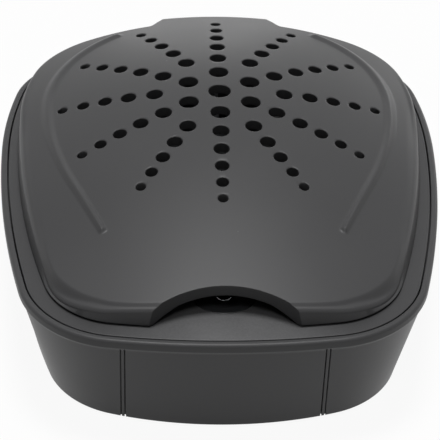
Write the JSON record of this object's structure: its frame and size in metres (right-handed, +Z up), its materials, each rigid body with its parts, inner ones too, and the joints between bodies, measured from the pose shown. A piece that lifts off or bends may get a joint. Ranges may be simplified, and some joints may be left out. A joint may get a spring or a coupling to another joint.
{
  "type": "hearing aid dryer",
  "caption": "Electric hearing aid dryer: drafted black tub with an overhanging rim and a hinged domed lid pierced by radial vent holes, over a drying well, heater, fan and start button.",
  "frame": {"origin": "middle of the footprint, on the surface that the rubber feet stand on", "axes": "+Z up, +Y towards the hinge at the back, +X to the right seen from the front with the thumb notch"},
  "size_m": [0.1064, 0.1266, 0.0464],
  "materials": {
    "housing_black": "fine matte grain",
    "deck_black": "fine spark-eroded grain",
    "lid_black": "smooth satin",
    "button_black": "semi-gloss",
    "lens_clear": "clear moulded",
    "switch_black": "matte",
    "led_white": "diffuse",
    "board_green": "solder mask",
    "jack_black": "matte, with a plated centre pin",
    "grille_grey": "matte",
    "heater_aluminium": "mill finish",
    "ceramic_grey": "dry ceramic",
    "fan_black": "matte",
    "tray_grey": "fine matte",
    "feet_rubber": "soft matte",
    "steel": "zinc plated"
  },
  "bodies": {
    "base": {"base_housing": "housing_black", "top_deck": "deck_black", "hinge_pin": "steel", "tact_switches": "switch_black", "status_led": "led_white", "control_board": "board_green", "board_screws": "steel", "power_jack": "jack_black", "air_grille": "grille_grey", "heater_plate": "heater_aluminium", "heater_elements": "ceramic_grey", "heater_screws": "steel", "thermal_cutout": "ceramic_grey", "fan_frame": "fan_black", "fan_screws": "steel", "drying_tray": "tray_grey", "case_screws": "steel", "rubber_feet": "feet_rubber"},
    "lid": {"lid": "lid_black"},
    "button": {"start_button": "button_black", "button_lens": "lens_clear", "switch_plungers": "switch_black"},
    "rotor": {"fan_rotor": "fan_black"}
  },
  "joints": [
    {"name": "lid_hinge", "type": "hinge", "parent": "base", "child": "lid", "pos_m": [0, 0.0556, 0.0341], "axis": [-1, 0, 0], "range_deg": [0, 100]},
    {"name": "button_press", "type": "slide", "parent": "base", "child": "button", "axis": [0, 0, -1], "range_m": [0, 0.0005], "stiffness_N_per_m": 2400, "springref_m": -0.0001},
    {"name": "fan_spin", "type": "hinge", "parent": "base", "child": "rotor", "pos_m": [0, 0.012, 0.0075], "axis": [0, 0, 1], "continuous": true}
  ]
}
